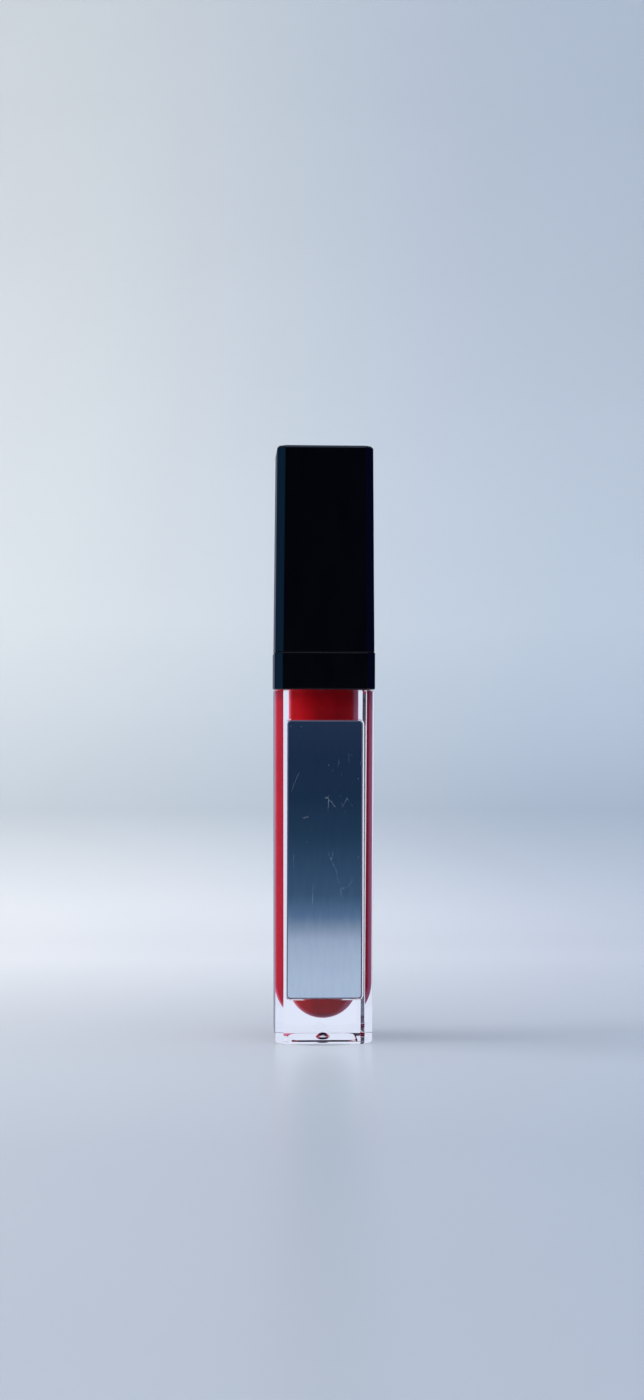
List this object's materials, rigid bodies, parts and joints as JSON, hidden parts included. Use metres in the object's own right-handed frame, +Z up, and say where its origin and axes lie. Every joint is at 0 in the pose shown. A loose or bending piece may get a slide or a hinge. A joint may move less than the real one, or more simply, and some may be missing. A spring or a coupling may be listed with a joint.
{
  "type": "lip gloss tube",
  "caption": "Square clear lip gloss tube with a mirror on its front and a tapered black screw cap that carries an applicator wand and a push-button light.",
  "frame": {"origin": "centre of the base, on the surface the tube stands on", "axes": "+Z up along the tube to the cap's top; the mirror is on the front, which faces -Y; +X to the right as the mirror is looked at"},
  "size_m": [0.02, 0.02, 0.119],
  "materials": {
    "clear_bottle": "polished, water clear",
    "red_gloss": "thick wet red gloss",
    "soft_white": "soft milky polyethylene",
    "mirror": "silvered, with ground edges",
    "adhesive": "pressure-sensitive pad",
    "foam": "fine closed-cell foam",
    "inner_black": "moulded, as it left the tool",
    "cap_black": "satin black",
    "clear_stem": "polished clear rod",
    "flock": "short nylon flock, stained by gloss",
    "white_plastic": "moulded white",
    "lamp": "clear epoxy",
    "circuit_board": "green solder mask",
    "cell_steel": "drawn, nickel plated",
    "contact_nickel": "bright nickel plate",
    "contact_brass": "bare strip",
    "switch_black": "moulded",
    "plunger_red": "moulded"
  },
  "bodies": {
    "bottle": {"bottle": "clear_bottle", "gloss": "red_gloss", "wiper": "soft_white", "mirror_plate": "mirror", "mirror_adhesive": "adhesive"},
    "seal": {"seal_washer": "foam"},
    "cap_core": {"inner_cap": "inner_black", "collar": "cap_black", "wand_stem": "clear_stem", "applicator_tip": "flock", "reflector_cup": "white_plastic", "led": "lamp", "led_board": "circuit_board", "battery_holder": "white_plastic", "battery_1": "cell_steel", "battery_2": "cell_steel", "battery_3": "cell_steel", "contact_spring": "contact_nickel", "top_contact": "contact_nickel", "side_contact": "contact_brass", "switch_board": "circuit_board", "switch_body": "switch_black", "module_cover": "white_plastic"},
    "switch": {"switch_plunger": "plunger_red"},
    "shell": {"cap_shell": "cap_black"},
    "button": {"push_button": "cap_black"}
  },
  "joints": [
    {"name": "cap_lift", "type": "slide", "parent": "bottle", "child": "seal", "axis": [0, 0, 1], "range_m": [0, 0.074]},
    {"name": "cap_turn", "type": "hinge", "parent": "seal", "child": "cap_core", "pos_m": [0, 0, 0.0785], "axis": [0, 0, 1], "range_deg": [0, 540]},
    {"name": "shell_pull", "type": "slide", "parent": "cap_core", "child": "shell", "axis": [0, 0, 1], "range_m": [0, 0.042]},
    {"name": "button_press", "type": "slide", "parent": "shell", "child": "button", "axis": [0, 0, -1], "range_m": [0, 0.0003], "stiffness_N_per_m": 1500},
    {"name": "plunger_press", "type": "slide", "parent": "cap_core", "child": "switch", "axis": [0, 0, -1], "range_m": [0, 0.0003]}
  ],
  "couplings": [
    {"joint": "plunger_press", "follows": "button_press", "ratio": 1}
  ]
}
